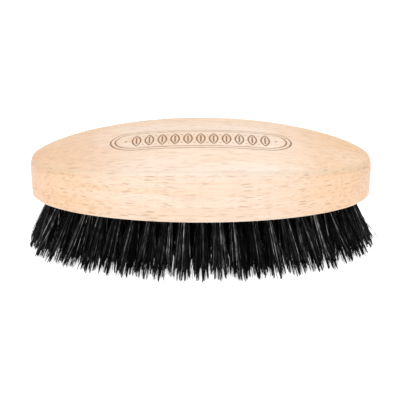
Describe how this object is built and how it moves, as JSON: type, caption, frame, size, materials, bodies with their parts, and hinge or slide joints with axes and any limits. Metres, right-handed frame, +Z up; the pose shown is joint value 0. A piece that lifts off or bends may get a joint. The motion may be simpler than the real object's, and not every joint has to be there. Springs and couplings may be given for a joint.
{
  "type": "beard brush",
  "caption": "Oval palm-held beard brush with a domed beech block and black boar bristle tufts that fan outwards and are trimmed flat.",
  "frame": {"origin": "on the plane of the trimmed bristle tips, under the middle of the block", "axes": "+X along the brush, +Y across it, +Z up from the bristle tips towards the domed top"},
  "size_m": [0.1272, 0.061, 0.0422],
  "materials": {
    "beech": "fine sanded and waxed, pale, with short brown flecks",
    "bristle": "black natural boar bristle with a low sheen and a few grey hairs",
    "anchor_wire": "plain flat steel wire"
  },
  "bodies": {
    "root": {"beech_block": "beech", "edge_tuft_01": "bristle", "edge_tuft_02": "bristle", "edge_tuft_03": "bristle", "edge_tuft_04": "bristle", "edge_tuft_05": "bristle", "edge_tuft_06": "bristle", "edge_tuft_07": "bristle", "edge_tuft_08": "bristle", "edge_tuft_09": "bristle", "edge_tuft_10": "bristle", "edge_tuft_11": "bristle", "edge_tuft_12": "bristle", "edge_tuft_13": "bristle", "edge_tuft_14": "bristle", "edge_tuft_15": "bristle", "edge_tuft_16": "bristle", "edge_tuft_17": "bristle", "edge_tuft_18": "bristle", "edge_tuft_19": "bristle", "edge_tuft_20": "bristle", "edge_tuft_21": "bristle", "edge_tuft_22": "bristle", "edge_tuft_23": "bristle", "edge_tuft_24": "bristle", "edge_tuft_25": "bristle", "edge_tuft_26": "bristle", "edge_tuft_27": "bristle", "edge_tuft_28": "bristle", "edge_tuft_29": "bristle", "edge_tuft_30": "bristle", "edge_tuft_31": "bristle", "edge_tuft_32": "bristle", "edge_tuft_33": "bristle", "edge_tuft_34": "bristle", "edge_tuft_35": "bristle", "edge_tuft_36": "bristle", "edge_tuft_37": "bristle", "edge_tuft_38": "bristle", "edge_tuft_39": "bristle", "edge_tuft_40": "bristle", "edge_tuft_41": "bristle", "edge_tuft_42": "bristle", "inner_row_1": "bristle", "inner_row_2": "bristle", "inner_row_3": "bristle", "inner_row_4": "bristle", "inner_row_5": "bristle", "inner_row_6": "bristle", "inner_row_7": "bristle"}
  },
  "joints": []
}
